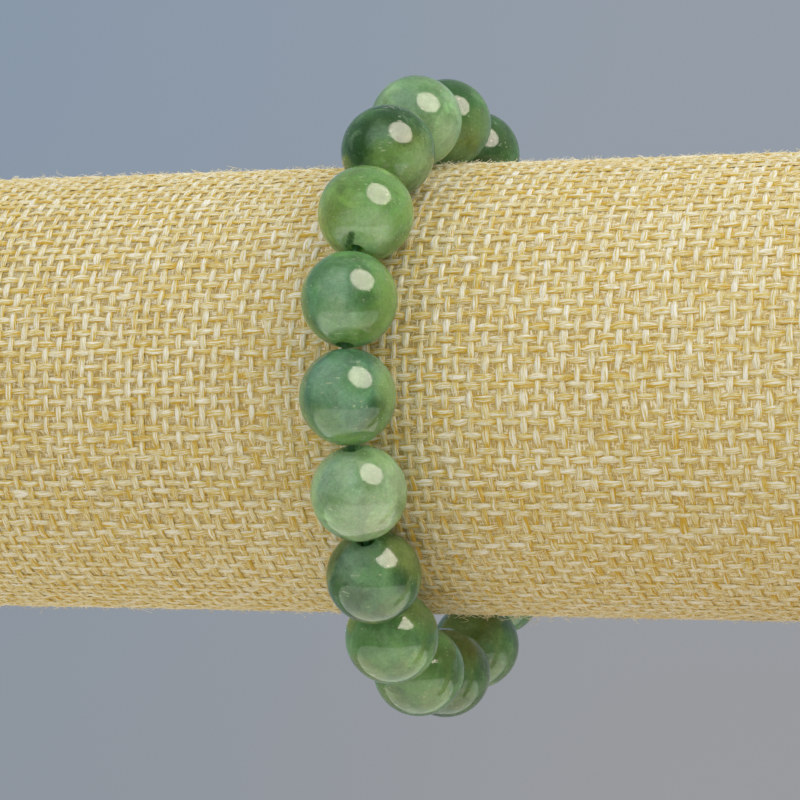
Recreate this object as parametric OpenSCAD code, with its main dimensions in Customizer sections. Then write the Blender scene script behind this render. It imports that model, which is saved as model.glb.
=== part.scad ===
// Beaded stretch bracelet hanging on a burlap covered T-bar display stand.
// Millimetres, +Z up, bar along X, origin at the centre of the base's underside.

/* [Beads] */
// Diameter of each round stone bead
bead_d = 10; // [8:0.5:12]
// Daylight between neighbouring beads where they nearly touch
bead_gap = 0.04; // [0.02:0.02:0.2]
// Diameter of the hole drilled through each bead
hole_d = 1.2; // [1:0.1:1.6]
// Diameter of the dimple that the drill leaves round each end of the hole
mouth_d = 2; // [1.8:0.1:2.6]
// Diameter of the stretch cord
cord_d = 0.7; // [0.5:0.1:0.8]

/* [Bracelet on the bar] */
// Distance from the post to the middle of the bracelet
bracelet_x = 60; // [45:1:90]
// Gap between the bar's cover and the bead that rests on it
seat_gap = 0.15; // [0.1:0.05:0.5]
// Least slack in the loop's radius, which sets how many beads it takes
loop_slack = 0.4; // [0.2:0.1:1]
// How far the loop is stretched to an oval, as a share of its radius
loop_oval = 0.026; // [0:0.002:0.03]
// Lean of the oval's long axis from the vertical, in degrees
oval_lean = 30; // [0:1:45]
// Most that the loop settles off the bar's middle, front to back
loop_play = 0.4; // [0:0.1:0.6]
// Turn of the loop about the vertical, in degrees
loop_twist = 1.2; // [0:0.1:3]
// Lean of the uppermost bead towards the back, in degrees
first_lean = 4.3; // [0:0.1:9]

/* [Bar] */
// Diameter of the bar over its burlap
bar_d = 48.5; // [44:0.5:54]
// Length of the bar over its covered ends
bar_len = 260; // [220:5:320]
// Thickness of the burlap
burlap_t = 1.4; // [1:0.1:2]
// Height of the bar's underside above the base
bar_clear = 76; // [60:1:120]

/* [Post and base] */
// Diameter of the post
post_d = 18; // [14:1:26]
// Depth that the post goes into the bar's core
post_in_bar = 22; // [12:1:30]
// Depth that the post goes into the base
post_in_base = 8; // [4:0.5:10]
// Diameter of the base
base_d = 120; // [100:5:160]
// Thickness of the base
base_t = 13; // [12:0.5:20]
// Radius of the base's upper edge
base_round = 4; // [2:0.5:6]
// Radius of the base's lower edge
base_foot_round = 1; // [0.5:0.5:2]

/* [Hidden] */
// Gap between pieces that are glued or pressed together
piece_gap = 0.1;
// Sides of the cord
cord_sides = 8;
// Share of the loop's slack that its oval may use
oval_share = 0.9;
// Steps in which the loop is moved to find where it hangs lowest
play_step = 0.1;
// Distances smaller than this count as touching
touch = 0.001;
$fn = 96;

bead_r = bead_d / 2;
bar_r = bar_d / 2;
pitch = bead_d + bead_gap;
bar_z = base_t + bar_clear + bar_r;
core_r = bar_r - burlap_t - piece_gap;
core_len = bar_len - 2 * (burlap_t + piece_gap);

// Distance from the bar's axis to the centre of a bead that rests on the bar
rest_r = bar_r + seat_gap + bead_r;
bead_count = ceil(180 / asin(pitch / 2 / (rest_r + loop_slack)));
step = 360 / bead_count;
loop_r = pitch / 2 / sin(step / 2);

// Sideways place of each bead along the bar, as a share of the bead's diameter.
// The list starts at the uppermost bead and goes down the front.
sway = [0.02, 0, 0, 0.005, -0.02, 0, 0.045, 0.03, -0.03, -0.04,
        -0.06, -0.02, 0, -0.01, 0, 0, 0.01, 0.01, 0.06];

// Tone of each bead from dark green, 0, to pale green, 1, in the same order
tone = [0.2, 0.75, 0.1, 0.6, 0.45, 0.5, 0.85, 0.25, 0.4, 0.6,
        0.4, 0.3, 0.5, 0.65, 0.35, 0.55, 0.3, 0.7, 0.15];
dark_green = [0.16, 0.33, 0.15];
pale_green = [0.52, 0.70, 0.47];
burlap_color = [0.80, 0.68, 0.42];
wood_color = [0.76, 0.60, 0.42];

function total(list, i) = i < 0 ? list[0] * 0 : list[i] + total(list, i - 1);
function unit(v) = v / norm(v);

// An oval wider than this would not go over the bar
oval = min(loop_oval, oval_share * (1 - rest_r / loop_r));
// Heading of the straight line from bead i to bead i + 1. The double-angle term makes the loop oval.
function heading(i) =
    let (a = first_lean - (i + 0.5) * step)
    a + 1.5 * oval * 180 / PI * sin(2 * (a + oval_lean));
links = [for (i = [0 : bead_count - 1]) pitch * [-cos(heading(i)), sin(heading(i))]];
walk = [for (i = [0 : bead_count - 1]) total(links, i - 1)];
middle = total(walk, bead_count - 1) / bead_count;
loop = [for (p = walk) p - middle];

// Height at which a bead of the loop's upper half rests on the bar, once the loop has moved back
function bead_drop(p, back) =
    let (y = p[0] + back)
    p[1] > 0 && abs(y) < rest_r ? sqrt(rest_r * rest_r - y * y) - p[1] : -rest_r;
function loop_drop(back) = max([for (p = loop) bead_drop(p, back)]);
function clears(back) =
    min([for (p = loop) norm(p + [back, loop_drop(back)])]) > rest_r - touch;
// The loop moves back or forward to where it hangs lowest and every bead clears the bar
settled = [for (back = [-loop_play : play_step : loop_play + touch]) if (clears(back)) back];
drop = min([for (back = settled) loop_drop(back)]);
back = [for (b = settled) if (loop_drop(b) < drop + touch) b][0];

function lap(i) = (i + bead_count) % bead_count;
bead_at = [for (i = [0 : bead_count - 1])
    let (p = loop[i])
    [-bracelet_x + sway[i % len(sway)] * bead_d - p[0] * tan(loop_twist), p[0] + back, bar_z + drop + p[1]]];
hole_along = [for (i = [0 : bead_count - 1]) unit(bead_at[lap(i + 1)] - bead_at[lap(i - 1)])];
// The cord bends only between beads, where the axes of two holes meet
half_reach = pitch / 2 / cos(step / 2);
cord_at = [for (i = [0 : bead_count - 1])
    let (j = lap(i + 1))
    (bead_at[i] + hole_along[i] * half_reach + bead_at[j] - hole_along[j] * half_reach) / 2];

function bead_name(i) = str("bead_", i < 9 ? "0" : "", i + 1);

// Points the child's Z axis along a direction
module aim(v) {
    rotate([0, acos(v[2] / norm(v)), atan2(v[1], v[0])]) children();
}

// One round bead with its drilled hole and the dimple at each end of it
module bead(i) {
    depth = (mouth_d - hole_d) / 2;
    mouth_z = sqrt(bead_r * bead_r - mouth_d * mouth_d / 4);
    color(dark_green + (pale_green - dark_green) * tone[i % len(tone)])
        translate(bead_at[i])
            aim(hole_along[i])
                difference() {
                    sphere(r = bead_r);
                    cylinder(d = hole_d, h = 2 * bead_d, center = true);
                    for (end = [0, 1])
                        mirror([0, 0, end])
                            translate([0, 0, mouth_z - depth])
                                cylinder(d1 = hole_d, d2 = hole_d + 4 * depth, h = 2 * depth);
                }
}

// Closed loop of cord through every hole, one ring of points at each bend
module stretch_cord() {
    rings = [for (k = [0 : bead_count - 1])
        let (
            along = unit(cord_at[lap(k + 1)] - cord_at[lap(k - 1)]),
            out = unit(cross(along, [1, 0, 0])),
            side = cross(along, out)
        )
        for (s = [0 : cord_sides - 1])
            cord_at[k] + cord_d / 2 * (cos(s * 360 / cord_sides) * out + sin(s * 360 / cord_sides) * side)];
    faces = [for (k = [0 : bead_count - 1], s = [0 : cord_sides - 1])
        let (
            t = (s + 1) % cord_sides,
            here = k * cord_sides,
            next = lap(k + 1) * cord_sides
        )
        [here + s, here + t, next + t, next + s]];
    color([0.05, 0.09, 0.05]) polyhedron(points = rings, faces = faces);
}

// Lays a child that is turned about Z along the bar
module on_bar() {
    translate([0, 0, bar_z]) rotate([0, 90, 0]) children();
}

// The round hole that the post fills, from inside the base up into the bar
module post_space() {
    translate([0, 0, base_t - post_in_base])
        cylinder(d = post_d + 2 * piece_gap, h = post_in_base + bar_clear + burlap_t + post_in_bar);
}

module bar_core() {
    color(wood_color)
        difference() {
            on_bar() cylinder(r = core_r, h = core_len, center = true);
            post_space();
        }
}

module burlap_wrap() {
    color(burlap_color)
        difference() {
            on_bar() cylinder(r = bar_r, h = core_len, center = true);
            on_bar() cylinder(r = core_r + piece_gap, h = bar_len, center = true);
            post_space();
        }
}

// Round of burlap over one end of the bar, with a soft rim. End is -1 for the left and 1 for the right.
module burlap_end(end) {
    color(burlap_color)
        translate([end * (bar_len / 2 - burlap_t), 0, bar_z])
            rotate([0, end * 90, 0])
                rotate_extrude() {
                    square([bar_r - burlap_t, burlap_t]);
                    translate([bar_r - burlap_t, 0])
                        intersection() {
                            circle(r = burlap_t);
                            square(burlap_t);
                        }
                }
}

module post() {
    top = base_t + bar_clear + burlap_t + post_in_bar - piece_gap;
    foot = base_t - post_in_base + piece_gap;
    color(wood_color) translate([0, 0, foot]) cylinder(d = post_d, h = top - foot);
}

module base() {
    base_r = base_d / 2;
    color(wood_color)
        difference() {
            rotate_extrude() {
                square([base_r - base_round, base_t]);
                translate([0, base_foot_round])
                    square([base_r, base_t - base_round - base_foot_round]);
                square([base_r - base_foot_round, base_foot_round]);
                translate([base_r - base_round, base_t - base_round]) circle(r = base_round);
                translate([base_r - base_foot_round, base_foot_round]) circle(r = base_foot_round);
            }
            post_space();
        }
}

base();
post();
bar_core();
burlap_wrap();
burlap_end(-1);  // burlap_end_left
burlap_end(1);  // burlap_end_right
stretch_cord();
for (i = [0 : bead_count - 1])
    bead(i);
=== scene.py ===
import math

import bpy
import numpy as np
from mathutils import Matrix, Vector


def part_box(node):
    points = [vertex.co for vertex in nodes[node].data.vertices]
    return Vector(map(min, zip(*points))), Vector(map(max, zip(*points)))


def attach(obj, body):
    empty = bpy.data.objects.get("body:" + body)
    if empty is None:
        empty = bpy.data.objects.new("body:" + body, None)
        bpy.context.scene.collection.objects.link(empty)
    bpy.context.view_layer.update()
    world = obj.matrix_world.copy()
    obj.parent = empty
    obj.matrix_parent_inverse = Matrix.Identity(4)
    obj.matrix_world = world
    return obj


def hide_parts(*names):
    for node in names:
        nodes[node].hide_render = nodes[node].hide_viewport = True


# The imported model, and the places that everything else is worked out from
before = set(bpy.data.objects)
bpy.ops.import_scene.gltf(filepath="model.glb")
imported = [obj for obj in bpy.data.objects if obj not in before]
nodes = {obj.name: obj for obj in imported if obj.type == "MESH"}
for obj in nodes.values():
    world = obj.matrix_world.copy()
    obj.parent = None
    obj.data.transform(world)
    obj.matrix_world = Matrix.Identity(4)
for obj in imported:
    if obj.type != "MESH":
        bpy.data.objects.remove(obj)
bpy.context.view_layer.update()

MM = 0.001
BODY = "root"
BEADS = sorted(name for name in nodes if name.startswith("bead_"))


def middle(name):
    low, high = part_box(name)
    return (low + high) / 2


def span(name):
    low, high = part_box(name)
    return high - low


bead_middle = {name: middle(name) for name in BEADS}
bead_r = max(max(span(name)) for name in BEADS) / 2
ring_middle = sum(bead_middle.values(), Vector()) / len(BEADS)
bar_middle = middle("burlap_wrap")
bar_r = span("burlap_wrap").z / 2
bar_len = span("burlap_wrap").x
core_r = span("bar_core").z / 2

# The camera stands to the right of the bracelet and level with the bar
CAMERA_AZIMUTH = 20.38
CAMERA_ELEVATION = -0.1
CAMERA_ROLL = -0.3
CAMERA_DISTANCE = 335.3 * MM
CAMERA_LENS = 135
CAMERA_AIM = Vector((ring_middle.x - 4.7 * MM, 0, bar_middle.z - 1.15 * MM))


def toward(azimuth, elevation):
    """Unit vector from the object towards an azimuth, 0 in front and 90 at the right, and an elevation."""
    a, e = math.radians(azimuth), math.radians(elevation)
    return Vector((math.sin(a) * math.cos(e), -math.cos(a) * math.cos(e), math.sin(e)))


def make_camera():
    data = bpy.data.cameras.new("camera")
    data.lens = CAMERA_LENS
    data.sensor_width = 36
    data.clip_start = 0.01
    data.clip_end = 50
    camera = bpy.data.objects.new("camera", data)
    bpy.context.scene.collection.objects.link(camera)
    back = toward(CAMERA_AZIMUTH, CAMERA_ELEVATION)
    roll = Matrix.Rotation(math.radians(CAMERA_ROLL), 4, "Z")
    camera.matrix_world = (
        Matrix.Translation(CAMERA_AIM + back * CAMERA_DISTANCE)
        @ (-back).to_track_quat("-Z", "Y").to_matrix().to_4x4()
        @ roll
    )
    bpy.context.scene.camera = camera


# Node trees

class Nodes:
    """One node tree, with short calls for the nodes that the materials and the world use."""

    def __init__(self, tree):
        self.tree = tree

    def node(self, kind, **settings):
        made = self.tree.nodes.new(kind)
        for key, value in settings.items():
            setattr(made, key, value)
        return made

    def join(self, source, target):
        self.tree.links.new(source, target)

    def put(self, target, value):
        if isinstance(value, bpy.types.NodeSocket):
            self.join(value, target)
        else:
            target.default_value = value

    def attribute(self, name, output="Vector"):
        return self.node("ShaderNodeAttribute", attribute_name=name).outputs[output]

    def position(self):
        return self.node("ShaderNodeTexCoord").outputs["Object"]

    def split(self, vector):
        made = self.node("ShaderNodeSeparateXYZ")
        self.join(vector, made.inputs[0])
        return made.outputs

    def vector(self, x, y, z):
        made = self.node("ShaderNodeCombineXYZ")
        for target, value in zip(made.inputs, (x, y, z)):
            self.put(target, value)
        return made.outputs[0]

    def place(self, vector, move=(0, 0, 0), scale=(1, 1, 1)):
        """Moves a vector and then scales it."""
        moved = self.node("ShaderNodeVectorMath", operation="ADD")
        self.join(vector, moved.inputs[0])
        moved.inputs[1].default_value = move
        scaled = self.node("ShaderNodeVectorMath", operation="MULTIPLY")
        self.join(moved.outputs[0], scaled.inputs[0])
        scaled.inputs[1].default_value = scale
        return scaled.outputs[0]

    def math(self, operation, a, b=0.0):
        made = self.node("ShaderNodeMath", operation=operation)
        self.put(made.inputs[0], a)
        self.put(made.inputs[1], b)
        return made.outputs[0]

    def plus(self, a, b):
        return self.math("ADD", a, b)

    def minus(self, a, b):
        return self.math("SUBTRACT", a, b)

    def times(self, a, b):
        return self.math("MULTIPLY", a, b)

    def length(self, vector):
        made = self.node("ShaderNodeVectorMath", operation="LENGTH")
        self.join(vector, made.inputs[0])
        return made.outputs["Value"]

    def dot(self, vector, direction):
        made = self.node("ShaderNodeVectorMath", operation="DOT_PRODUCT")
        self.join(vector, made.inputs[0])
        made.inputs[1].default_value = direction
        return made.outputs["Value"]

    def noise(self, vector, scale, detail=2.0, roughness=0.5, distortion=0.0):
        made = self.node("ShaderNodeTexNoise")
        self.join(vector, made.inputs["Vector"])
        made.inputs["Scale"].default_value = scale
        made.inputs["Detail"].default_value = detail
        made.inputs["Roughness"].default_value = roughness
        made.inputs["Distortion"].default_value = distortion
        return made.outputs["Fac"]

    def spread(self, value, low, high, to_low=0.0, to_high=1.0):
        """Maps low..high smoothly to to_low..to_high."""
        made = self.node("ShaderNodeMapRange", interpolation_type="SMOOTHSTEP")
        self.put(made.inputs["Value"], value)
        made.inputs["From Min"].default_value = low
        made.inputs["From Max"].default_value = high
        made.inputs["To Min"].default_value = to_low
        made.inputs["To Max"].default_value = to_high
        return made.outputs[0]

    def mix(self, share, a, b, blend="MIX"):
        made = self.node("ShaderNodeMix", data_type="RGBA", blend_type=blend)
        self.put(made.inputs["Factor"], share)
        for target, value in ((made.inputs[6], a), (made.inputs[7], b)):
            self.put(target, value if isinstance(value, bpy.types.NodeSocket) else (*value, 1))
        return made.outputs[2]

    def tinted(self, color, tint):
        """The colour times the tint, which is a colour, or a brightness from another node."""
        if isinstance(tint, bpy.types.NodeSocket):
            tint = self.vector(tint, tint, tint)
        return self.mix(1.0, color, tint, "MULTIPLY")

    def ramp(self, value, stops):
        """A colour for each value from 0 to 1, from stops of place and colour."""
        made = self.node("ShaderNodeValToRGB")
        self.join(value, made.inputs[0])
        points = made.color_ramp.elements
        while len(points) < len(stops):
            points.new(0.5)
        for point, (place, color) in zip(points, stops):
            point.position = place
            point.color = (*color, 1)
        return made.outputs[0]


class Shader(Nodes):
    """A new material, whose look is finished on the sockets of its Principled BSDF."""

    def __init__(self, name):
        self.material = bpy.data.materials.new(name)
        self.material.use_nodes = True
        super().__init__(self.material.node_tree)
        self.surface = self.tree.nodes["Principled BSDF"]

    def bump(self, height, strength, distance):
        made = self.node("ShaderNodeBump")
        self.put(made.inputs["Height"], height)
        made.inputs["Strength"].default_value = strength
        made.inputs["Distance"].default_value = distance
        self.join(made.outputs[0], self.surface.inputs["Normal"])

    def finish(self, **values):
        for key, value in values.items():
            name = key.replace("_", " ")
            if isinstance(value, tuple) and name != "Subsurface Radius":
                value = (*value, 1)
            self.put(self.surface.inputs[name], value)
        return self.material


def dress(name, material):
    """Gives a CAD node its material."""
    mesh = nodes[name].data
    mesh.materials.clear()
    mesh.materials.append(material)


# Meshes

def add_mesh(name, points, faces, material, replaced=()):
    """A new piece of the object, smooth shaded, that rides on the body."""
    mesh = bpy.data.meshes.new(name)
    mesh.from_pydata(points, [], faces)
    mesh.validate()
    mesh.polygons.foreach_set("use_smooth", [True] * len(mesh.polygons))
    mesh.materials.append(material)
    piece = bpy.data.objects.new(name, mesh)
    bpy.context.scene.collection.objects.link(piece)
    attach(piece, BODY)
    if replaced:
        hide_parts(*replaced)
    return piece


def tube_faces(rings, sides, closed, start=0):
    """Quads of one tube whose points lie ring after ring, and its two end faces unless it is closed."""
    ring = np.arange(rings if closed else rings - 1)[:, None]
    side = np.arange(sides)[None, :]
    after = (ring + 1) % rings
    turn = (side + 1) % sides
    quads = np.stack(
        [ring * sides + side, ring * sides + turn, after * sides + turn, after * sides + side], axis=-1
    ).reshape(-1, 4) + start
    faces = quads.tolist()
    if not closed:
        faces.append([start + s for s in reversed(range(sides))])
        faces.append([start + (rings - 1) * sides + s for s in range(sides)])
    return faces


# Burlap

# Wefts run along the bar, and warps round it
WEFTS = 122
WARP_PITCH = 1.42 * MM
WEFT_HALF_WIDTH = 0.405 * MM
WARP_HALF_WIDTH = 0.395 * MM
THREAD_HALF_HEIGHT = 0.07 * MM
# How far the middle of a thread swings to either side as it goes over and under
WAVE = 0.07 * MM
# Share of its width that a thread loses where it dives between its neighbours
TAPER = 0.1
# Radius of the top of the weave, of the middle of its threads, and of the backing under them
CREST_R = bar_r + 0.66 * MM
THREAD_R = CREST_R - WAVE - THREAD_HALF_HEIGHT
BACKING_R = THREAD_R - 0.07 * MM
# Daylight between a bead and the threads that it presses in
PRESS_GAP = 0.05 * MM
# Cross section of a thread of two strands side by side: across and up, as shares of its half width and height
FINE_SECTION = np.array([(-1, -0.9), (-0.6, 0.9), (0, 0.7), (0.6, 0.9), (1, -0.9)])
PLAIN_SECTION = np.array([(-1, -0.9), (0, 1), (1, -0.9)])
# Rings of a thread from one crossing to the next: close to the camera, elsewhere, and behind the bar
FINE_STEPS = 3
PLAIN_STEPS = 2
BACK_STEPS = 1
# The part of the bar that the camera sees close up: along it, and round it in degrees from its front
NEAR_LOW = ring_middle.x - 62 * MM
NEAR_HIGH = ring_middle.x + 48 * MM
NEAR_FROM = -100
NEAR_TO = 100


def waves(rng, count, size, periods):
    """One smooth random curve for each of count threads: a function of the way along, from 0 to 1."""
    phase = rng.uniform(0, 2 * math.pi, (count, len(periods), 1))
    height = rng.normal(0, 1, (count, len(periods), 1)) / math.sqrt(len(periods))
    turns = np.array(periods)[None, :, None] * 2 * math.pi

    def curve(along):
        return size * (height * np.sin(turns * along[None, None, :] + phase)).sum(axis=1)

    return curve


def on_bar(x, angle, radius):
    """Points at a place along the bar, an angle from its front towards its top, in degrees, and a radius."""
    a = np.radians(angle)
    return np.stack(
        [x + 0 * a, bar_middle.y - radius * np.cos(a), bar_middle.z + radius * np.sin(a)], axis=-1
    )


def press(points):
    """Moves the points that lie inside a bead towards the bar's axis, until they are clear of it."""
    flat = points.reshape(-1, 3)
    for centre in bead_middle.values():
        away = flat - np.array(centre)
        inside = np.flatnonzero((away ** 2).sum(axis=1) < (bead_r + PRESS_GAP) ** 2)
        for i in inside:
            axis = np.array([flat[i, 0], bar_middle.y, bar_middle.z])
            inward = axis - flat[i]
            inward /= np.linalg.norm(inward)
            along = away[i] @ inward
            flat[i] += inward * (
                math.sqrt(along ** 2 + (bead_r + PRESS_GAP) ** 2 - away[i] @ away[i]) - along
            )
    return points


class Strands:
    """Tubes that become one piece of cloth, with the coordinates that its materials read: fibre, which is the
    way along in millimetres, the way across and a seed, and sunk, which is 0 where a thread lies over its
    neighbour and 1 where it lies under it. The thread materials paint shade where sunk is high."""

    def __init__(self):
        self.points = []
        self.faces = []
        self.fibre = []
        self.sunk = []
        self.count = 0
        self.sides = 0

    def add(self, centre, out, half_width, half_height, along, sunk, seeds, section):
        """Adds threads whose centre lines and outward directions have the shape threads x rings x 3."""
        threads, rings, _ = centre.shape
        ahead = np.gradient(centre, axis=1)
        ahead /= np.linalg.norm(ahead, axis=2, keepdims=True)
        side = np.cross(ahead, out)
        side /= np.linalg.norm(side, axis=2, keepdims=True)
        up = np.cross(side, ahead)
        across, rise = section[:, 0], section[:, 1]
        self.sides = len(section)
        points = (
            centre[:, :, None]
            + side[:, :, None] * (half_width[:, :, None] * across)[..., None]
            + up[:, :, None] * (half_height * rise)[:, None]
        )
        for t in range(threads):
            self.faces += tube_faces(rings, len(section), False, self.count)
            self.count += rings * len(section)
        fibre = np.zeros(points.shape, np.float32)
        fibre[..., 0] = along[:, :, None]
        fibre[..., 1] = across
        fibre[..., 2] = seeds[:, None, None]
        self.points.append(points.reshape(-1, 3))
        self.fibre.append(fibre.ravel())
        self.sunk.append(np.repeat(sunk.astype(np.float32).ravel(), len(section)))

    def build(self, name, look, replaced=()):
        points = press(np.concatenate(self.points))
        piece = add_mesh(name, points, self.faces, look, replaced)
        stored = piece.data.attributes.new("fibre", "FLOAT_VECTOR", "POINT")
        stored.data.foreach_set("vector", np.concatenate(self.fibre))
        stored = piece.data.attributes.new("sunk", "FLOAT", "POINT")
        stored.data.foreach_set("value", np.concatenate(self.sunk))
        self.sharpen(piece.data)
        return piece

    def sharpen(self, mesh):
        """Keeps the flat underside of each tube out of the smooth shading of its top."""
        ends = np.empty(2 * len(mesh.edges), int)
        mesh.edges.foreach_get("vertices", ends)
        place = ends.reshape(-1, 2) % self.sides
        lower = (place[:, 0] == place[:, 1]) & np.isin(place[:, 0], (0, self.sides - 1))
        stored = mesh.attributes.new("sharp_edge", "BOOLEAN", "EDGE")
        stored.data.foreach_set("value", lower)


WARPS = int(bar_len / WARP_PITCH)
# How unevenly the threads lie: the spread of their places, of their height on the bar, of their place at each
# crossing as a share of the pitch, and of their width along them and at each crossing
WARP_SPREAD = 0.07 * MM
WEFT_SPREAD = 0.06
LIFT = 0.02 * MM
SHIFT = 0.05
SWELL = 0.11
PLUMP = 0.08
# How far they wander: wefts in degrees round the bar, and warps along it
WEFT_DRIFT = 0.5
WARP_DRIFT = 0.16 * MM

rng = np.random.default_rng(7)
warp_x = bar_middle.x + ((np.arange(WARPS) + 0.5) / WARPS - 0.5) * bar_len
warp_x = warp_x + rng.normal(0, WARP_SPREAD, WARPS)
weft_angle = (np.arange(WEFTS) + rng.normal(0, WEFT_SPREAD, WEFTS)) * 360 / WEFTS
weft_drift = waves(rng, WEFTS, WEFT_DRIFT, (1, 2, 5, 9))
warp_drift = waves(rng, WARPS, WARP_DRIFT, (1, 2, 4))
weft_swell = waves(rng, WEFTS, SWELL, (3, 8, 17, 31))
warp_swell = waves(rng, WARPS, SWELL, (2, 5, 11, 19))
weft_seed = rng.uniform(0, 50, WEFTS)
warp_seed = rng.uniform(50, 100, WARPS)
weft_lift = rng.normal(0, LIFT, WEFTS)
warp_lift = rng.normal(0, LIFT, WARPS)
weft_shift = rng.normal(0, SHIFT * 360 / WEFTS, (WEFTS, WARPS + 1))
warp_shift = rng.normal(0, SHIFT * WARP_PITCH, (WARPS, WEFTS))
weft_plump = rng.normal(1, PLUMP, (WEFTS, WARPS + 1))
warp_plump = rng.normal(1, PLUMP, (WARPS, WEFTS))


def between(table, crossing):
    """Reads a table with a column for each crossing at places between the crossings."""
    first = np.floor(crossing).astype(int)
    share = crossing - first
    columns = table.shape[1]
    return table[:, first % columns] * (1 - share) + table[:, (first + 1) % columns] * share


def outward(angle):
    return on_bar(0 * angle, angle, 1) - on_bar(0 * angle, angle, 0)


def wefts(name, chosen, first, last, section, steps, replaced=()):
    """Threads that run along the bar, from warp first to warp last."""
    u = np.linspace(first, last, (last - first) * steps + 1)
    x = np.interp(u, np.arange(WARPS), warp_x)
    share = (x - warp_x[0]) / bar_len
    angle = weft_angle[chosen, None] + weft_drift(share)[chosen] + between(weft_shift[chosen], u)
    over = np.cos(math.pi * (u[None, :] + chosen[:, None]))
    centre = on_bar(np.broadcast_to(x, angle.shape), angle, THREAD_R + WAVE * over + weft_lift[chosen, None])
    width = WEFT_HALF_WIDTH * (1 + weft_swell(share)[chosen]) * between(weft_plump[chosen], u)
    width = width * (1 - TAPER + TAPER * over)
    along = np.broadcast_to((x - warp_x[0]) / MM, angle.shape)
    strands = Strands()
    strands.add(centre, outward(angle), width, THREAD_HALF_HEIGHT, along, 0.5 - 0.5 * over,
                weft_seed[chosen], section)
    strands.build(name, weft_look, replaced)


def warps(name, chosen, first, last, section, steps, replaced=()):
    """Threads that run round the bar, from weft first to weft last."""
    v = np.linspace(first, last, (last - first) * steps + 1)
    wrapped = np.interp(v, np.arange(-WEFTS, 2 * WEFTS),
                        np.concatenate([weft_angle - 360, weft_angle, weft_angle + 360]))
    share = wrapped / 360
    x = warp_x[chosen, None] + warp_drift(share)[chosen] + between(warp_shift[chosen], v)
    angle = np.broadcast_to(wrapped, x.shape)
    over = -np.cos(math.pi * (v[None, :] + chosen[:, None]))
    centre = on_bar(x, angle, THREAD_R + WAVE * over + warp_lift[chosen, None])
    width = WARP_HALF_WIDTH * (1 + warp_swell(share)[chosen]) * between(warp_plump[chosen], v)
    width = width * (1 - TAPER + TAPER * over)
    along = np.broadcast_to(share * 2 * math.pi * bar_r / MM, x.shape)
    strands = Strands()
    strands.add(centre, outward(angle), width, THREAD_HALF_HEIGHT, along, 0.5 - 0.5 * over,
                warp_seed[chosen], section)
    strands.build(name, warp_look, replaced)


def make_burlap():
    """The woven cover, finer where the camera is near. Its threads are cut where the finer part begins."""
    near_first = int(np.searchsorted(warp_x, NEAR_LOW))
    near_last = int(np.searchsorted(warp_x, NEAR_HIGH))
    front = np.array([j for j in range(WEFTS) if not NEAR_TO < weft_angle[j] % 360 < 360 + NEAR_FROM])
    back = np.array([j for j in range(WEFTS) if j not in front])
    wefts("burlap_weft_near", front, near_first, near_last, FINE_SECTION, FINE_STEPS, ["burlap_wrap"])
    wefts("burlap_weft_left", front, 0, near_first, PLAIN_SECTION, PLAIN_STEPS)
    wefts("burlap_weft_right", front, near_last, WARPS - 1, PLAIN_SECTION, PLAIN_STEPS)
    wefts("burlap_weft_back", back, 0, WARPS - 1, PLAIN_SECTION, BACK_STEPS)
    near = np.arange(near_first, near_last)
    far = np.array([i for i in range(WARPS) if i < near_first or i >= near_last])
    from_weft = int(round(NEAR_FROM / 360 * WEFTS))
    to_weft = int(round(NEAR_TO / 360 * WEFTS))
    warps("burlap_warp_near", near, from_weft, to_weft, FINE_SECTION, FINE_STEPS)
    warps("burlap_warp_back", near, to_weft, WEFTS + from_weft, PLAIN_SECTION, BACK_STEPS)
    warps("burlap_warp_far", far, 0, WEFTS, PLAIN_SECTION, PLAIN_STEPS)


# Colours of the jute, from the dark gold of its golden strands and of the painted shade in its crevices to its
# bleached fibres
JUTE_TONES = [
    (0.0, (0.46, 0.285, 0.030)),
    (0.15, (0.50, 0.370, 0.060)),
    (0.35, (0.53, 0.450, 0.17)),
    (0.57, (0.56, 0.515, 0.32)),
    (0.8, (0.60, 0.58, 0.47)),
    (1.0, (0.68, 0.67, 0.62)),
]


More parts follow.
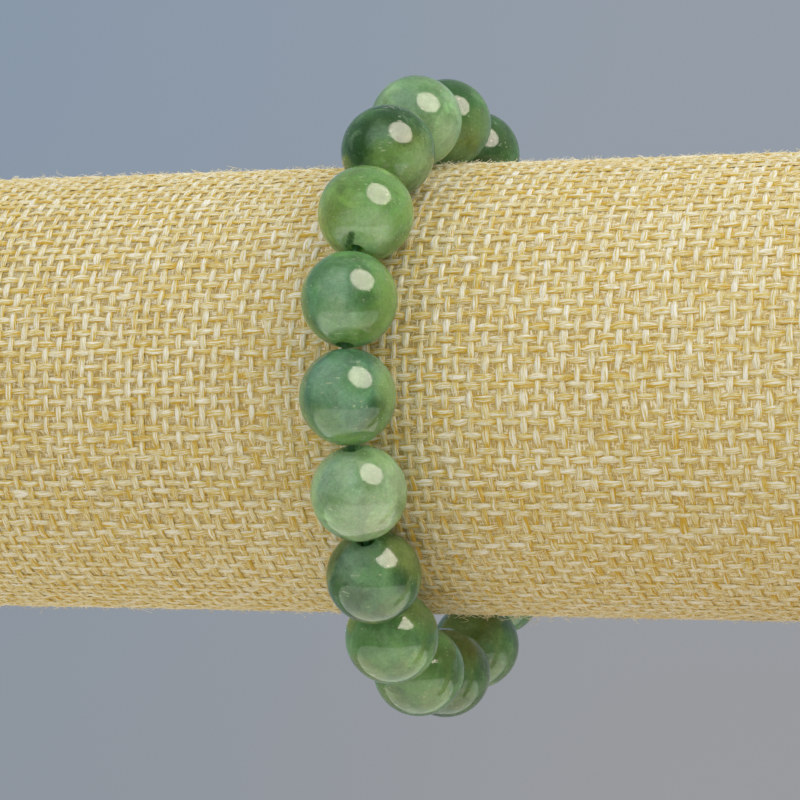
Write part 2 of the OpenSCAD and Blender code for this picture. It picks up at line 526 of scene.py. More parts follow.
def thread_material(name, pale_side, pale, low_pale):
    """Jute: a pale strand and a golden one turn slowly about each other, with fine fibres along both, and
    painted shade that darkens each thread towards its edges and where it dives under its neighbours.
    pale_side: how far across the pale strand reaches. pale: how much paler than the middle tone the thread
    is, and low_pale: how much paler it is on the lower part of the bar."""
    s = Shader(name)
    along, across, seed = s.split(s.attribute("fibre"))
    slant = s.plus(across, s.times(along, 0.2))
    turn = s.noise(s.vector(s.times(along, 0.11), s.times(seed, 3.0), 0.0), 1.0, 1.0)
    side = s.plus(across, s.spread(turn, 0.3, 0.7, -0.9, 0.9))
    lie = s.vector(s.times(along, 0.45), s.times(slant, 4.2), s.times(seed, 7.0))
    streaks = s.noise(lie, 1.0, 3.0, 0.65)
    lie = s.vector(s.times(along, 1.8), s.times(slant, 8.0), s.times(seed, 11.0))
    hairs = s.noise(lie, 1.0, 2.0, 0.7)
    shadows = s.noise(s.vector(s.times(along, 0.5), s.times(seed, 5.0), 3.0), 1.0, 2.0, 0.5)
    sunk = s.attribute("sunk", "Fac")
    edge = s.math("ABSOLUTE", across)
    tone = s.spread(s.minus(side, pale_side), -0.3, 0.3, 0.10 + pale, pale - 0.10)
    tone = s.plus(tone, s.spread(streaks, 0.36, 0.64, 0.08, 1.06))
    tone = s.plus(tone, s.spread(shadows, 0.3, 0.7, -0.10, 0.10))
    tone = s.plus(tone, s.spread(hairs, 0.3, 0.7, -0.16, 0.16))
    height = s.minus(s.split(s.position())[2], bar_middle.z)
    tone = s.plus(tone, s.spread(height, -0.45 * bar_r, -0.05 * bar_r, low_pale - pale, 0.0))
    # Painted shade: the tone darkens towards the thread's edges and where it dives under its neighbours
    tone = s.minus(tone, s.spread(edge, 0.50, 1.0, 0.0, 0.32))
    tone = s.minus(tone, s.spread(sunk, 0.25, 0.9, 0.0, 0.35))
    shade = s.spread(hairs, 0.3, 0.7, 0.88, 1.08)
    color = s.tinted(s.ramp(tone, JUTE_TONES), shade)
    s.bump(streaks, 0.2, 0.08 * MM)
    return s.finish(Base_Color=color, Roughness=0.85, Specular_IOR_Level=0.15)


# Backing of the burlap, seen through its gaps

BACKING_SIDES = 128
# Daylight between the backing and the bar's core
CORE_GAP = 0.1 * MM
# Colours of its fibres, from the golden depth
BACKING_TONES = [
    (0.0, (0.40, 0.28, 0.080)),
    (0.35, (0.54, 0.43, 0.19)),
    (0.7, (0.62, 0.56, 0.36)),
    (1.0, (0.76, 0.73, 0.62)),
]


def backing_rings(rings):
    """Points of rings round the bar's axis, each given by its place along the bar and its radius."""
    angle = np.arange(BACKING_SIDES) * 360 / BACKING_SIDES
    points = []
    for x, radius in rings:
        points += on_bar(np.full(BACKING_SIDES, x), angle, radius).tolist()
    return points


def make_backing():
    inner = core_r + CORE_GAP
    left, right = bar_middle.x - bar_len / 2, bar_middle.x + bar_len / 2
    points = backing_rings([(left, BACKING_R), (right, BACKING_R), (right, inner), (left, inner)])
    add_mesh("burlap_backing", points, tube_faces(4, BACKING_SIDES, True), backing_look)


def backing_material():
    """Matted fibres that cross in two directions."""
    s = Shader("burlap_backing")
    along = s.noise(s.place(s.position(), (0, 0, 0), (700, 3600, 3600)), 1.0, 3.0, 0.7, 0.8)
    around = s.noise(s.place(s.position(), (0, 0, 0), (3600, 700, 700)), 1.0, 3.0, 0.7, 0.8)
    matted = s.math("MAXIMUM", along, around)
    s.bump(matted, 0.5, 0.1 * MM)
    return s.finish(Base_Color=s.ramp(s.spread(matted, 0.46, 0.68), BACKING_TONES), Roughness=0.9)


# Woven rounds over the bar's ends

ROUND_PITCH = 1.38 * MM
ROUND_R = CREST_R - 0.2 * MM
# How far the backing of a round lies under its threads
ROUND_DEPTH = 0.2 * MM
# Radius of the rim's bend, how far the round stands off the end of the bar, and the places of a thread's
# rings over the rim, as shares of its width
ROUND_RIM = 1.4 * MM
ROUND_STAND = 0.15 * MM
RIM_SHARES = (0.0, 0.6, 0.9, 1.0)
ROUND_HALF_WIDTH = 0.44 * MM


def round_places(offset, places):
    """Where a thread of a round has its rings: at each crossing, and closer together over the rim."""
    flat = ROUND_R - ROUND_RIM
    ends = [math.sqrt((flat + ROUND_RIM * share) ** 2 - offset ** 2) for share in RIM_SHARES]
    inner = [p for p in places if abs(p) < ends[0] - 0.2 * ROUND_PITCH]
    return np.array([-e for e in reversed(ends)] + inner + ends)


def make_round(name, node, side):
    """A plain weave over the end of the bar on one side, whose threads bend back over the rim."""
    face = bar_middle.x + side * (bar_len / 2 + ROUND_RIM + ROUND_STAND)
    count = int(2 * (ROUND_R - ROUND_RIM) / ROUND_PITCH)
    places = (np.arange(count) - (count - 1) / 2) * ROUND_PITCH
    strands = Strands()
    for turned in (0, 1):
        for number, offset in enumerate(places):
            along = round_places(offset, places)
            crossing = along / ROUND_PITCH + (count - 1) / 2
            over = np.cos(math.pi * (crossing + number + turned))
            radius = np.hypot(along, offset)
            past = np.clip((radius - (ROUND_R - ROUND_RIM)) / ROUND_RIM, 0, 1)
            back = ROUND_RIM * (1 - np.sqrt(1 - past ** 2))
            x = face + side * (WAVE * over * (1 - past) - back)
            flat = (along, np.full(len(along), offset))
            y, z = flat if turned else flat[::-1]
            centre = np.stack([x, bar_middle.y + y, bar_middle.z + z], axis=-1)[None]
            away = np.stack([0 * y, y, z], axis=-1) / np.maximum(radius, MM)[:, None]
            out = away * past[:, None] + np.array([side, 0, 0]) * np.sqrt(1 - past ** 2)[:, None]
            strands.add(centre, out[None], np.full((1, len(along)), ROUND_HALF_WIDTH), THREAD_HALF_HEIGHT,
                        along[None] / MM, 0.5 - 0.5 * over[None], np.array([round_seed(turned, number)]),
                        PLAIN_SECTION)
    strands.build(name, round_look, [node])
    make_round_backing(name + "_backing", face - side * ROUND_DEPTH, side)


def round_seed(turned, number):
    """Seed of the fibres of a round's thread, past the seeds of the bar's threads."""
    return 100 + 37 * turned + 1.7 * number


def make_round_backing(name, face, side):
    """A closed disc with a rounded rim behind the weave of a round."""
    radius = ROUND_R - ROUND_DEPTH
    rings = []
    for turn in range(0, 91, 15):
        a = math.radians(turn)
        reach = radius - ROUND_RIM + ROUND_RIM * math.cos(a)
        rings.append((face - side * ROUND_RIM * (1 - math.sin(a)), reach))
    faces = tube_faces(len(rings), BACKING_SIDES, False)
    if side < 0:
        faces = [face_points[::-1] for face_points in faces]
    add_mesh(name, backing_rings(rings), faces, backing_look)


# Loose fibres of the burlap

FUZZ_SECTION = np.array([(-1, -0.6), (0, 1.2), (1, -0.6)])
FUZZ_HALF = 0.019 * MM
# How deep under the crests a fibre's root lies, and the share of its width that it loses towards its tip
ROOT_DEPTH = 0.12 * MM
FUZZ_TAPER = 0.6
# Numbers of fibres: on the weave, along its threads, off its outline, and long ones
LYING = 2700
ALONG = 2600
FRINGE = 3000
CURLS = 44
# Share of the fringe at the top of the bar, and of the usual width that its fibres and the curls have
FRINGE_ON_TOP = 0.55
FINE_HAIR = 0.55


def clear_of_beads(centre):
    """Which fibres stay clear of every bead."""
    keep = np.ones(len(centre), bool)
    for middle_of in bead_middle.values():
        near = ((centre - np.array(middle_of)) ** 2).sum(axis=2).min(axis=1)
        keep &= near > (bead_r + 2 * PRESS_GAP) ** 2
    return keep


def add_fibres(strands, rng, x, angle, lengths, lifts, steps, bend, tucked, heading=None, thin=1.0):
    """Fibres that start at a place on the weave, each in a direction of its own, and bend as they go.
    lengths, lifts: the least and the most, in millimetres. tucked: both ends lie in the weave; otherwise the
    far end stands off it by the lift. thin: share of the usual width that they have."""
    count = len(x)
    length = rng.uniform(*lengths, count) * MM
    lift = rng.uniform(*lifts, count) * MM
    s = np.linspace(0, 1, steps + 1)
    if heading is None:
        heading = rng.uniform(0, 2 * math.pi, count)
    heading = heading[:, None]
    heading = heading + rng.normal(0, bend, count)[:, None] * s + rng.normal(0, bend / 3, (count, steps + 1))
    stride = (length / steps)[:, None]
    x = x[:, None] + np.cumsum(np.cos(heading) * stride, axis=1)
    angle = angle[:, None] + np.degrees(np.cumsum(np.sin(heading) * stride, axis=1) / CREST_R)
    rise = np.sin(math.pi * s) if tucked else s ** 1.4
    radius = CREST_R - ROOT_DEPTH + lift[:, None] * rise
    centre = on_bar(x, angle, radius)
    width = np.broadcast_to(thin * FUZZ_HALF * (1 - FUZZ_TAPER * s), (count, steps + 1))
    keep = clear_of_beads(centre)
    strands.add(centre[keep], outward(angle)[keep], width[keep], FUZZ_HALF, (s * length[:, None])[keep] / MM,
                np.zeros((keep.sum(), steps + 1)), rng.uniform(0, 50, count)[keep], FUZZ_SECTION)


def make_fuzz():
    """Short fibres that lie on the weave, a fringe that stands off its outline, and a few long curls."""
    rng = np.random.default_rng(23)
    strands = Strands()
    x = rng.uniform(NEAR_LOW, NEAR_HIGH, LYING)
    angle = rng.uniform(-90, 95, LYING)
    add_fibres(strands, rng, x, angle, (0.8, 2.6), (0.13, 0.24), steps=4, bend=1.2, tucked=True)
    x = rng.uniform(NEAR_LOW, NEAR_HIGH, FRINGE)
    on_top = rng.uniform(0, 1, FRINGE) < FRINGE_ON_TOP
    angle = np.where(on_top, rng.uniform(62, 100, FRINGE), rng.uniform(-100, -62, FRINGE))
    add_fibres(strands, rng, x, angle, (0.5, 2.1), (0.15, 0.60), steps=4, bend=2.4, tucked=False,
               thin=FINE_HAIR)
    x = np.concatenate([rng.normal(ring_middle.x + 11 * MM, 4.5 * MM, CURLS // 2),
                        rng.uniform(NEAR_LOW, NEAR_HIGH, CURLS // 2)])
    angle = np.where(np.arange(CURLS) < CURLS // 2, -78.0, rng.choice([84.0, -80.0], CURLS))
    add_fibres(strands, rng, x, angle, (2.5, 5.5), (0.5, 1.2), steps=14, bend=4.0, tucked=False,
               thin=FINE_HAIR)
    strands.build("burlap_fuzz", fuzz_look)


def make_strays():
    """Fibres that have come loose from the threads and still run along them."""
    rng = np.random.default_rng(31)
    strands = Strands()
    x = rng.uniform(NEAR_LOW, NEAR_HIGH, ALONG)
    angle = rng.uniform(-88, 95, ALONG)
    heading = rng.integers(0, 4, ALONG) * math.pi / 2 + rng.normal(0, 0.16, ALONG)
    add_fibres(strands, rng, x, angle, (1.2, 3.4), (0.12, 0.2), steps=4, bend=0.35, tucked=True,
               heading=heading)
    strands.build("burlap_strays", fuzz_look)


FUZZ_TONES = [(0.0, (0.70, 0.56, 0.28)), (0.5, (0.78, 0.71, 0.48)), (1.0, (0.84, 0.80, 0.68))]


def fuzz_material():
    """Pale fibres, each with a tone of its own that changes along it."""
    s = Shader("burlap_fuzz")
    along, _, seed = s.split(s.attribute("fibre"))
    tone = s.noise(s.vector(s.times(along, 0.2), s.times(seed, 9.0), 0.0), 1.0, 2.0)
    color = s.ramp(s.spread(tone, 0.3, 0.7), FUZZ_TONES)
    return s.finish(Base_Color=color, Roughness=0.8, Specular_IOR_Level=0.2)


# Stone beads

# Colours of the stone, from the darkest
INK = (0.040, 0.130, 0.045)
DEEP = (0.115, 0.265, 0.080)
OLIVE = (0.350, 0.420, 0.130)
MID = (0.240, 0.480, 0.195)
TEAL = (0.220, 0.470, 0.280)
LEAF = (0.370, 0.600, 0.185)
MIST = (0.440, 0.660, 0.500)
MINT = (0.490, 0.730, 0.400)
MILK = (0.650, 0.850, 0.580)
FROST = (0.740, 0.875, 0.690)
# Colour of the painted glint on the specks and scratches, and of fine pale grains, and how much darker dark
# grains are
SCRATCH_GLINT = (0.80, 0.84, 0.62)
PALE_GRAIN = (0.44, 0.64, 0.40)
DARK_GRAIN = (0.5, 0.62, 0.5)
# How ragged the edges of the patches are
PATCH_RAGGED = 2.2

# For each bead its main colour, then its patches: colour, place to the right and up as seen from the camera,
# both as shares of its radius, angle in degrees that the patch spans, and strength
BEAD_LOOKS = {
    "bead_01": (MID, [(DEEP, 0.1, 0.6, 66, 1.0), (INK, -0.1, 0.7, 46, 0.4), (OLIVE, 0.1, -0.6, 50, 0.9),
                      (LEAF, 0.2, -0.55, 40, 0.4), (OLIVE, 0.7, -0.2, 35, 0.5)]),
    # bead_02: its MID patch at 0.3, 0.4 is painted shade under the highlight
    "bead_02": (MINT, [(MIST, -0.2, 0.4, 34, 0.7), (LEAF, 0.5, -0.6, 50, 0.8), (MID, 0.1, 0.9, 40, 0.6),
                       (MILK, 0.5, -0.45, 40, 0.8), (MID, 0.3, 0.4, 26, 0.6)]),
    "bead_03": (DEEP, [(INK, -0.62, 0.2, 38, 0.8), (INK, 0.1, 0.8, 32, 0.6), (MIST, -0.12, 0.25, 26, 0.5),
                       (OLIVE, 0.5, -0.4, 55, 0.9), (LEAF, 0.0, -0.25, 34, 0.7),
                       (MINT, 0.6, -0.45, 42, 0.65)]),
    # bead_04: its DEEP patch at 0.25, 0.40 is painted shade under the highlight, and its MILK patch low down
    # is partly a pale cloud and partly a painted glow of light through the stone
    "bead_04": (LEAF, [(MID, 0.7, -0.1, 36, 0.7), (MID, 0.2, 0.6, 44, 0.5), (MINT, 0.05, -0.05, 26, 0.6),
                       (DEEP, 0.25, 0.40, 20, 0.6), (MILK, -0.05, -0.55, 46, 0.6),
                       (OLIVE, -0.85, 0.0, 30, 0.4), (INK, -0.28, -0.46, 5, 0.8),
                       (INK, -0.30, -0.54, 6, 0.8), (INK, -0.32, -0.63, 6, 0.9),
                       (INK, -0.34, -0.72, 7, 0.9)]),
    # bead_05: its DEEP patch at 0.25, 0.42 is painted shade under the highlight, and its MILK patch low on the
    # left is partly pale haze and partly painted reflection of the pale table
    "bead_05": (MID, [(TEAL, -0.5, 0.0, 60, 0.8), (DEEP, -0.45, 0.6, 34, 0.6), (MIST, -0.25, 0.25, 32, 0.7),
                      (INK, 0.5, -0.1, 22, 0.6), (MILK, -0.25, -0.45, 34, 0.5), (LEAF, 0.1, -0.85, 28, 0.7),
                      (LEAF, 0.85, 0.3, 44, 0.9), (LEAF, 0.7, -0.5, 44, 0.7), (DEEP, 0.25, 0.42, 20, 0.6)]),
    # bead_06: its MID patch at 0.22, 0.40 is painted shade under the highlight, and its MIST patch low down is
    # partly pale haze and partly painted reflection of the pale table
    "bead_06": (TEAL, [(MIST, -0.2, 0.35, 50, 0.6), (MINT, 0.86, 0.25, 40, 0.9), (INK, 0.6, -0.28, 22, 0.8),
                       (MIST, 0.0, -0.42, 36, 0.5), (LEAF, 0.0, -0.92, 26, 0.7), (LEAF, 0.9, 0.1, 35, 0.6),
                       (LEAF, 0.6, -0.65, 34, 0.6), (LEAF, -0.5, -0.6, 38, 0.5), (MID, 0.22, 0.40, 26, 0.8)]),
    # bead_07: its MID patch at 0.23, 0.42 is painted shade under the highlight
    "bead_07": (MINT, [(MIST, -0.5, 0.3, 55, 0.8), (FROST, 0.18, -0.52, 54, 0.75), (LEAF, 0.3, 0.8, 30, 0.2),
                       (FROST, 0.80, 0.2, 36, 0.4), (MID, -0.5, -0.5, 40, 0.25), (FROST, -0.17, 0.5, 26, 0.4),
                       (MID, 0.23, 0.42, 20, 0.8)]),
    "bead_08": (DEEP, [(MIST, -0.25, 0.35, 45, 0.8), (MID, 0.2, 0.1, 40, 0.7), (OLIVE, 0.65, 0.5, 38, 0.8),
                       (INK, 0.58, -0.02, 20, 0.8), (MIST, 0.05, -0.55, 50, 0.3),
                       (OLIVE, -0.2, -0.9, 26, 0.6)]),
    # bead_09: its MINT patch low down is partly pale haze and partly painted reflection of the pale table
    "bead_09": (MID, [(DEEP, -0.6, 0.2, 40, 0.4), (DEEP, 0.75, 0.0, 24, 0.8), (MINT, 0.1, -0.35, 50, 0.35),
                      (OLIVE, -0.55, -0.7, 34, 0.7), (OLIVE, 0.5, 0.65, 36, 0.6)]),
    # bead_10: its MINT patch low down is partly pale haze and partly painted reflection of the pale table
    "bead_10": (MID, [(LEAF, 0.1, 0.1, 50, 0.6), (DEEP, 0.6, 0.1, 34, 0.4), (MINT, 0.15, -0.5, 54, 0.35),
                      (OLIVE, -0.6, -0.6, 34, 0.6)]),
    # bead_11: its MINT patch low down is partly pale haze and partly painted reflection of the pale table
    "bead_11": (DEEP, [(OLIVE, 0.4, 0.7, 48, 0.8), (MID, 0.6, 0.0, 40, 0.5), (MINT, 0.4, -0.6, 50, 0.3)]),
    # bead_12: its MINT patch low down is partly pale haze and partly painted reflection of the pale table
    "bead_12": (DEEP, [(OLIVE, 0.0, 0.5, 50, 0.6), (MID, 0.6, 0.0, 45, 0.6), (MINT, 0.2, -0.6, 60, 0.6)]),
    "bead_13": (MID, [(MIST, 0.3, -0.2, 50, 0.6)]),
    "bead_14": (TEAL, [(DEEP, 0.3, 0.4, 45, 0.7), (MILK, -0.4, -0.3, 40, 0.5)]),
    "bead_15": (DEEP, [(MID, -0.3, 0.3, 50, 0.7), (OLIVE, 0.4, -0.4, 45, 0.7)]),
    "bead_16": (MINT, [(MIST, 0.2, 0.4, 45, 0.7), (LEAF, -0.5, -0.2, 40, 0.6)]),
    "bead_17": (MID, [(INK, 0.4, 0.2, 40, 0.7), (LEAF, -0.2, -0.6, 45, 0.7)]),
    "bead_18": (LEAF, [(MILK, 0.1, 0.2, 40, 0.6), (MID, 0.5, -0.5, 45, 0.7)]),
    "bead_19": (DEEP, [(OLIVE, 0.3, 0.2, 45, 0.4), (INK, -0.1, 0.2, 75, 0.7)]),
}


def seen_at(right, up):
    """Direction from a bead's middle to the place on it that the camera sees at these shares of its
    radius."""
    back = toward(CAMERA_AZIMUTH, CAMERA_ELEVATION)
    sideways = toward(CAMERA_AZIMUTH + 90, 0)
    depth = math.sqrt(max(0.0, 1 - right ** 2 - up ** 2))
    return sideways * right + Vector((0, 0, 1)) * up + back * depth


def bore_way(name):
    """Unit vector along a bead's bore, which points from the bead before it to the one after it."""
    i = BEADS.index(name)
    ahead = bead_middle[BEADS[(i + 1) % len(BEADS)]] - bead_middle[BEADS[i - 1]]
    return ahead.normalized()


def bead_facets(s, own):
    """How bright each crystal is, in crystals with soft straight borders."""
    cells = s.node("ShaderNodeTexVoronoi", feature="SMOOTH_F1")
    s.join(s.place(own, (0, 0, 0), (2.0, 3.1, 2.3)), cells.inputs["Vector"])
    cells.inputs["Scale"].default_value = 1
    cells.inputs["Smoothness"].default_value = 0.2
    return s.spread(s.split(cells.outputs["Color"])[0], 0.1, 0.9, 0.91, 1.11)


# Specks and scratches in the stone, painted pale as glints: the turn of their pattern, its scale along each
# axis, the distance from the middle of a cell that a mark reaches, and the share of cells that hold none
MARKS = [
    ((0.0, 0.0, 0.0), (15, 15, 15), 0.22, 0.80),
    ((0.4, 0.9, 0.3), (2.6, 13, 13), 0.30, 0.62),
    ((1.3, 0.2, 1.9), (3.4, 15, 15), 0.30, 0.68),
]


def bead_marks(s, own):
    """Mask of the specks and fine scratches in a bead, which lie in some places and not in others, and which
    are painted pale as glints.
    """
    marks = 0.0
    for turn, scale, reach, empty in MARKS:
        turned = s.node("ShaderNodeMapping")
        turned.inputs["Rotation"].default_value = turn
        turned.inputs["Scale"].default_value = scale
        s.join(own, turned.inputs["Vector"])
        cells = s.node("ShaderNodeTexVoronoi")
        cells.inputs["Scale"].default_value = 1
        s.join(turned.outputs[0], cells.inputs["Vector"])
        mark = s.spread(cells.outputs["Distance"], 0.5 * reach, reach, 1.0, 0.0)
        held = s.spread(s.split(cells.outputs["Color"])[0], empty, empty + 0.2)
        marks = s.math("MAXIMUM", marks, s.times(mark, held))
    return s.times(marks, s.spread(s.noise(own, 2.2, 2.0), 0.48, 0.60, 0.0, 0.6))


def bead_clouds_and_painted_light(s, place, own, name):
    """The bead's main colour in soft clouds, with its patches, whose edges follow the clouds. Some patches are
    painted shade under the highlight, some painted reflection of the pale table below, and one a painted glow
    of light through the stone.
    """
    body, patches = BEAD_LOOKS[name]
    clouds = s.noise(own, 1.3, 3.0, 0.6, 0.5)
    wisps = s.noise(own, 3.2, 4.0, 0.65, 0.8)
    color = s.mix(s.spread(clouds, 0.35, 0.65), tuple(0.7 * c for c in body), tuple(1.25 * c for c in body))
    blur = s.plus(s.times(clouds, 0.5), s.times(wisps, 0.5))
    for patch, right, up, angle, strength in patches:
        reach = math.cos(math.radians(angle))
        ragged = s.times(s.minus(blur, 0.5), PATCH_RAGGED * (1 - reach))
        near = s.plus(s.dot(place, seen_at(right, up)), ragged)
        color = s.mix(s.spread(near, reach, 1.0, 0.0, strength), color, patch)
    return color


def bead_grains(s, own, grains, color):
    """Dark grains of two sizes over a colour, and fine pale ones."""
    fine = s.noise(own, 34.0, 2.0, 0.6)
    color = s.mix(s.spread(grains, 0.35, 0.65, 0.38, 0.0), color, s.tinted(color, DARK_GRAIN))
    color = s.mix(s.spread(fine, 0.35, 0.65, 0.30, 0.0), color, s.tinted(color, DARK_GRAIN))
    return s.mix(s.spread(fine, 0.60, 0.76, 0.0, 0.30), color, PALE_GRAIN)


def bead_material(name, turn):
    """Cloudy green stone: soft clouds and patches, some of them painted light and shade, fine grains, specks
    and scratches painted pale as glints, painted shade round the bore, and a polished skin.
    """
    s = Shader("stone_" + name)
    place = s.place(s.position(), tuple(-bead_middle[name]), (1 / bead_r,) * 3)
    own = s.place(place, (turn * 3.1, turn * 1.7, turn * 5.3))
    color = bead_clouds_and_painted_light(s, place, own, name)
    streaks = s.noise(s.place(own, (0, 0, 0), (2.2, 5.0, 3.0)), 1.0, 3.0, 0.55, 0.5)
    color = s.mix(s.spread(streaks, 0.52, 0.72, 0.0, 0.22), color, MILK)
    grains = s.noise(own, 13.0, 4.0, 0.75)
    color = bead_grains(s, own, grains, s.tinted(color, bead_facets(s, own)))
    marks = bead_marks(s, own)
    # Painted glints: the specks and scratches are painted pale
    color = s.mix(marks, color, SCRATCH_GLINT)
    # Painted shade: the stone darkens round the mouth of its bore
    mouth = s.math("ABSOLUTE", s.dot(place, bore_way(name)))
    color = s.mix(s.spread(mouth, 0.981, 0.994, 0.0, 0.35), color, INK)
    s.bump(s.plus(grains, s.times(marks, 0.5)), 0.25, 0.03 * MM)
    return s.finish(
        Base_Color=color,
        Roughness=s.plus(s.times(marks, 0.3), 0.055),
        IOR=1.54,
        Transmission_Weight=0.55,
        Subsurface_Weight=1.0,
        Subsurface_Radius=(0.6, 1.0, 0.5),
        Subsurface_Scale=1.2 * MM,
    )


def make_beads():
    for turn, name in enumerate(BEADS):
        dress(name, bead_material(name, turn))


def make_cord_look():
    s = Shader("elastic_cord")
    dress("stretch_cord", s.finish(Base_Color=(0.03, 0.11, 0.035), Roughness=0.4))


# Wood of the stand

# Distance between growth rings, and how far they stray from round
RING_PITCH = 5.5 * MM
RING_WOBBLE = 12 * MM
LATE_WOOD = (0.49, 0.32, 0.155)
EARLY_WOOD = (0.62, 0.44, 0.25)
WOOD_FIBRE = (0.38, 0.23, 0.10)
WOOD_PORE = (0.24, 0.13, 0.06)


def wood_material(name, grain, pith):
    """Planed pale wood with growth rings, fine fibres and short dark pores. grain: number of the axis that
    the fibres follow. pith: a point on the line that the rings lie round."""
    s = Shader(name)
    stretch = tuple(0.06 if axis == grain else 1 for axis in range(3))
    across = tuple(0 if axis == grain else 1 for axis in range(3))
    lie = s.place(s.position(), (0.31, 0.17, 0.23), stretch)
    away = s.length(s.place(s.position(), tuple(-p for p in pith), across))
    wobble = s.times(s.noise(lie, 32.0, 2.0, 0.5), RING_WOBBLE)
    rings = s.times(s.plus(away, wobble), 2 * math.pi / RING_PITCH)
    bands = s.plus(s.times(s.math("SINE", rings), 0.24), s.noise(lie, 90.0, 2.0, 0.5, 0.6))
    fibres = s.noise(lie, 900.0, 3.0, 0.6)
    pores = s.noise(lie, 2200.0, 1.0, 0.5)
    color = s.mix(s.spread(bands, 0.20, 0.80), LATE_WOOD, EARLY_WOOD)
    color = s.mix(s.spread(fibres, 0.35, 0.65, 0.35, 0.0), color, WOOD_FIBRE)
    color = s.mix(s.spread(pores, 0.60, 0.70, 0.0, 0.5), color, WOOD_PORE)
    s.bump(fibres, 0.15, 0.1 * MM)
    return s.finish(Base_Color=color, Roughness=s.spread(fibres, 0.3, 0.7, 0.42, 0.56))


def make_wood():
    lying = wood_material("wood_lying", 0, (0, 12 * MM, -34 * MM))
    dress("base", lying)
    dress("bar_core", lying)
    dress("post", wood_material("wood_upright", 2, (16 * MM, 9 * MM, 0)))


# Floor, light and background

FLOOR_SIDES = 96
# Distances at which the floor begins to fade and is gone, everywhere and behind the object
FLOOR_FADE = 1.4
FLOOR_R = 2.4
FLOOR_BEHIND_FADE = 0.28
FLOOR_BEHIND = 0.49


def floor_material():
    """Pale and matt. It fades out with distance, and sooner behind the object as the photo shows it, where it
    would come into the frame."""
    s = Shader("floor")
    far = s.spread(s.length(s.position()), FLOOR_FADE, FLOOR_R, 1.0, 0.0)
    behind = s.dot(s.position(), -toward(CAMERA_AZIMUTH, 0))
    behind = s.spread(behind, FLOOR_BEHIND_FADE, FLOOR_BEHIND, 1.0, 0.0)
    s.bump(s.noise(s.position(), 900.0, 2.0), 0.05, 0.1 * MM)
    return s.finish(Base_Color=(0.46, 0.46, 0.46), Roughness=0.8, Alpha=s.times(far, behind))


def make_floor():
    turns = [2 * math.pi * i / FLOOR_SIDES for i in range(FLOOR_SIDES)]
    rim = [(FLOOR_R * math.cos(t), FLOOR_R * math.sin(t), 0) for t in turns]
    mesh = bpy.data.meshes.new("floor")
    mesh.from_pydata(rim, [], [range(FLOOR_SIDES)])
    mesh.materials.append(floor_material())
    floor = bpy.data.objects.new("floor", mesh)
    floor.visible_diffuse = False
    floor.visible_glossy = False
    floor.visible_transmission = False
    bpy.context.scene.collection.objects.link(floor)


def area_light(name, place, target, shape, size, power, color, shows_in):
    """A light that the camera doesn't see. shows_in: diffuse for light on surfaces, or glossy for
    reflections."""
    data = bpy.data.lights.new(name, "AREA")
    data.shape = shape
    data.size, data.size_y = size
    data.energy = power
    data.color = color
    light = bpy.data.objects.new(name, data)
    light.location = place
    light.rotation_mode = "QUATERNION"
    light.rotation_quaternion = (target - place).to_track_quat("-Z", "Y")
    light.visible_camera = False
    light.visible_transmission = False
    light.visible_diffuse = shows_in == "diffuse"
    light.visible_glossy = shows_in == "glossy"
    bpy.context.scene.collection.objects.link(light)
    return light


def shining_up(across):
    """Rotation of a light that shines straight up, with its second side along across."""
    side = Vector((0, 0, 1)).cross(across)
    return Matrix((side, across, Vector((0, 0, -1)))).transposed().to_quaternion()


def power_of(radiance, area):
    """Power of an area light whose face has this radiance."""
    return radiance * math.pi * area


# The key light, and its brighter reflection in the beads: radiance and colour of each
KEY_AZIMUTH = CAMERA_AZIMUTH + 39
KEY_ELEVATION = 44
KEY_DISTANCE = 0.6
KEY_SIZE = 0.56
KEY_LIGHT = 2.0
KEY_COLOR = (1.0, 0.93, 0.78)
KEY_GLOW = 8.45
KEY_GLOW_COLOR = (1.0, 0.88, 0.76)
# The glow hangs a little nearer than the key light, so that the two don't lie in one plane
KEY_GLOW_NEARER = 0.98
# The pale table in the reflections: its middle lies this far before the bracelet, just over the base
TABLE_BEFORE = 0.070
TABLE_OVER = 2 * MM
TABLE_WIDTH = 0.50
TABLE_DEPTH = 0.25
TABLE_GLOW = 1.35
TABLE_COLOR = (0.94, 1.0, 0.88)


def make_key():
    """A round soft light high on the right."""
    place = ring_middle + toward(KEY_AZIMUTH, KEY_ELEVATION) * KEY_DISTANCE
    area = math.pi * KEY_SIZE ** 2 / 4
    size = (KEY_SIZE, KEY_SIZE)
    area_light("key", place, ring_middle, "DISK", size, power_of(KEY_LIGHT, area), KEY_COLOR, "diffuse")
    area_light("key_glow", place * KEY_GLOW_NEARER, ring_middle, "DISK", size, power_of(KEY_GLOW, area),
               KEY_GLOW_COLOR, "glossy")


def make_table():
    """The pale table that the beads reflect: a light that shines straight up, and is wider than it is deep."""
    ahead = toward(CAMERA_AZIMUTH, 0)
    place = Vector((ring_middle.x, 0, span("base").z + TABLE_OVER)) + ahead * TABLE_BEFORE
    area = math.pi * TABLE_WIDTH * TABLE_DEPTH / 4
    table = area_light("table", place, place + Vector((0, 0, 1)), "ELLIPSE", (TABLE_WIDTH, TABLE_DEPTH),
                       power_of(TABLE_GLOW, area), TABLE_COLOR, "glossy")
    table.rotation_quaternion = shining_up(ahead)


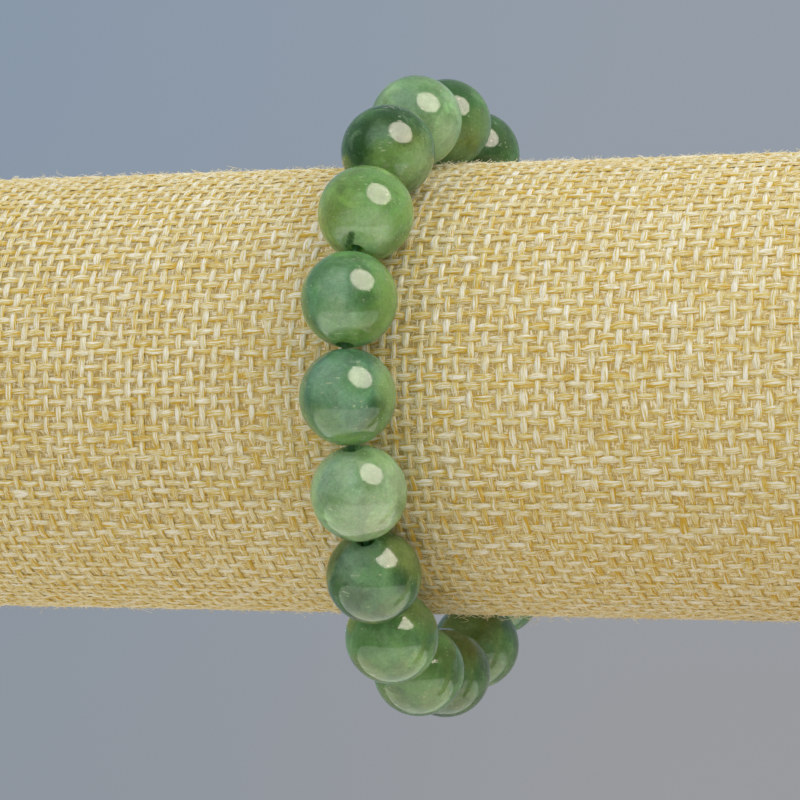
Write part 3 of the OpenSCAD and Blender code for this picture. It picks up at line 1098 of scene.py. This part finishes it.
# The backdrop, how much redder its right side is, the light from each side, and the room in reflections
BACKDROP_TOP = (0.252, 0.315, 0.398)
BACKDROP_BOTTOM = (0.270, 0.303, 0.345)
BACKDROP_RIGHT = (1.17, 1.07, 0.985)
FILL_TOP = (1.19, 1.20, 1.22)
FILL_SIDE = (0.82, 0.80, 0.73)
FILL_BOTTOM = (1.14, 1.03, 0.83)
ROOM_TOP = (0.30, 0.32, 0.34)
ROOM_FRONT = (0.10, 0.11, 0.11)


def make_world():
    """The backdrop as the camera sees it, an even light on surfaces, and a dim room in reflections."""
    world = bpy.data.worlds.new("world")
    bpy.context.scene.world = world
    world.use_nodes = True
    s = Nodes(world.node_tree)
    ray = s.node("ShaderNodeLightPath").outputs
    way = s.node("ShaderNodeTexCoord").outputs["Generated"]
    height = s.split(way)[2]
    right = s.dot(way, toward(CAMERA_AZIMUTH + 90, 0))
    front = s.dot(way, toward(CAMERA_AZIMUTH, 0))
    backdrop = s.mix(s.spread(height, -0.13, 0.13), BACKDROP_BOTTOM, BACKDROP_TOP)
    backdrop = s.mix(s.spread(right, -0.15, 0.10), backdrop, s.tinted(backdrop, BACKDROP_RIGHT))
    fill = s.mix(s.spread(height, -0.5, 0.0), FILL_BOTTOM, FILL_SIDE)
    fill = s.mix(s.spread(height, 0.0, 0.6), fill, FILL_TOP)
    room = s.mix(s.spread(height, 0.0, 0.8), ROOM_FRONT, ROOM_TOP)
    room = s.mix(s.spread(front, -0.4, 0.2), backdrop, room)
    seen = s.math("MAXIMUM", ray["Is Camera Ray"], ray["Is Transmission Ray"])
    color = s.mix(seen, s.mix(ray["Is Glossy Ray"], fill, room), backdrop)
    s.join(color, s.tree.nodes["Background"].inputs["Color"])


make_camera()
weft_look = thread_material("burlap_weft", 0.0, -0.08, 0.10)
warp_look = thread_material("burlap_warp", 0.2, 0.12, -0.12)
round_look = thread_material("burlap_round", 0.1, 0.04, 0.04)
backing_look = backing_material()
fuzz_look = fuzz_material()
make_burlap()
make_backing()
make_round("burlap_round_left", "burlap_end_left", -1)
make_round("burlap_round_right", "burlap_end_right", 1)
make_fuzz()
make_strays()
make_beads()
make_cord_look()
make_wood()
make_floor()
make_key()
make_table()
make_world()
scene = bpy.context.scene
scene.view_settings.view_transform = "Standard"
scene.cycles.use_denoising = True
